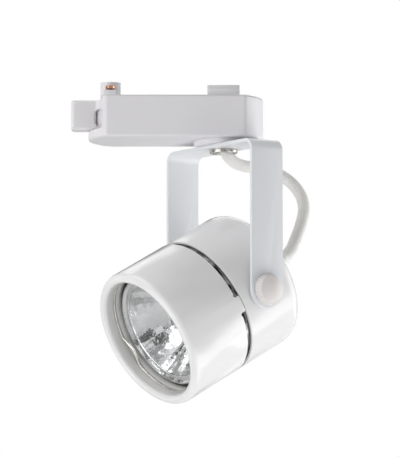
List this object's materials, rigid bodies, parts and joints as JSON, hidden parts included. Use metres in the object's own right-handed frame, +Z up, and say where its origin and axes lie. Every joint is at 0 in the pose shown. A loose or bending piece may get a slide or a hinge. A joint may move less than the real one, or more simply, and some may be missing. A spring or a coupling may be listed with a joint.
{
  "type": "track spotlight",
  "caption": "Low-voltage spotlight on a track adapter: swivelling bent-strip yoke, two-part cylindrical head that tilts between knurled knobs, sleeved cable loop.",
  "frame": {"origin": "centre of the adapter's top shoulder face, which bears on the underside of the track", "axes": "+X along the track, with the lever at the -X end; +Z up into the track; +Y across it; the yoke is swivelled 56.5 degrees and the head tilts 28.5 degrees below level at rest"},
  "size_m": [0.1042, 0.0828, 0.14],
  "materials": {
    "adapter_white": "white moulded thermoplastic, satin gloss",
    "cover_white": "white moulded thermoplastic, matte",
    "lever_white": "white moulded thermoplastic",
    "rotor_white": "white insulating plastic",
    "block_ivory": "ivory terminal plastic",
    "brass": "plain brass",
    "copper": "phosphor bronze strip",
    "nickel": "bright nickel plate",
    "zinc_steel": "zinc-plated steel",
    "yoke_steel": "white satin paint on bent steel strip",
    "head_white": "white gloss enamel on spun aluminium",
    "sleeve_steel": "bright steel",
    "wire_steel": "spring steel wire",
    "reflector": "aluminised faceted glass",
    "lens_glass": "clear glass",
    "capsule_glass": "clear quartz",
    "ceramic": "white steatite",
    "bush_clear": "translucent white silicone",
    "sleeving": "braided white glass-fibre sleeving",
    "lead_silicone": "silicone insulation",
    "knob_white": "warm white moulded thermoplastic",
    "washer_nylon": "natural nylon"
  },
  "bodies": {
    "adapter": {"adapter_housing": "adapter_white", "adapter_cover": "cover_white", "cover_screws": "zinc_steel", "guide_key": "cover_white", "terminal_block": "block_ivory", "terminal_screws": "brass", "wiper_springs": "copper", "supply_leads": "lead_silicone", "friction_disc": "washer_nylon"},
    "lever": {"lock_lever": "lever_white", "contact_rotor": "rotor_white", "slip_rings": "brass", "track_contacts": "copper"},
    "yoke": {"yoke_bracket": "yoke_steel", "hollow_nipple": "nickel", "stop_washer": "zinc_steel", "wave_washer": "zinc_steel", "nipple_nut": "nickel", "cable": "sleeving"},
    "head": {"rear_can": "head_white", "coupling_sleeve": "sleeve_steel", "sleeve_rivets": "zinc_steel", "front_bezel": "head_white", "retaining_ring": "wire_steel", "lamp_reflector": "reflector", "lamp_lens": "lens_glass", "lamp_capsule": "capsule_glass", "lamp_pins": "nickel", "lamp_holder": "ceramic", "holder_bracket": "zinc_steel", "holder_screws": "zinc_steel", "cable_bush": "bush_clear", "lamp_leads": "lead_silicone", "pivot_inserts": "zinc_steel", "tilt_washers": "washer_nylon"},
    "near_knob": {"near_knob": "knob_white", "near_stud": "zinc_steel"},
    "far_knob": {"far_knob": "knob_white", "far_stud": "zinc_steel"}
  },
  "joints": [
    {"name": "lever_turn", "type": "hinge", "parent": "adapter", "child": "lever", "pos_m": [-0.0285, 0, -0.008], "axis": [0, 0, 1], "range_deg": [0, 60]},
    {"name": "swivel", "type": "hinge", "parent": "adapter", "child": "yoke", "pos_m": [0.0207, 0, -0.018], "axis": [0, 0, 1], "range_deg": [-168, 168]},
    {"name": "tilt", "type": "hinge", "parent": "yoke", "child": "head", "pos_m": [0.0207, 0, -0.0845], "axis": [0.5519, -0.8339, 0], "range_deg": [-60, 61.5], "deforming": ["cable"]},
    {"name": "near_knob_turn", "type": "hinge", "parent": "head", "child": "near_knob", "pos_m": [0.0207, 0, -0.0845], "axis": [0.5519, -0.8339, 0], "range_deg": [0, 360]},
    {"name": "far_knob_turn", "type": "hinge", "parent": "head", "child": "far_knob", "pos_m": [0.0207, 0, -0.0845], "axis": [-0.5519, 0.8339, 0], "range_deg": [0, 360]}
  ]
}
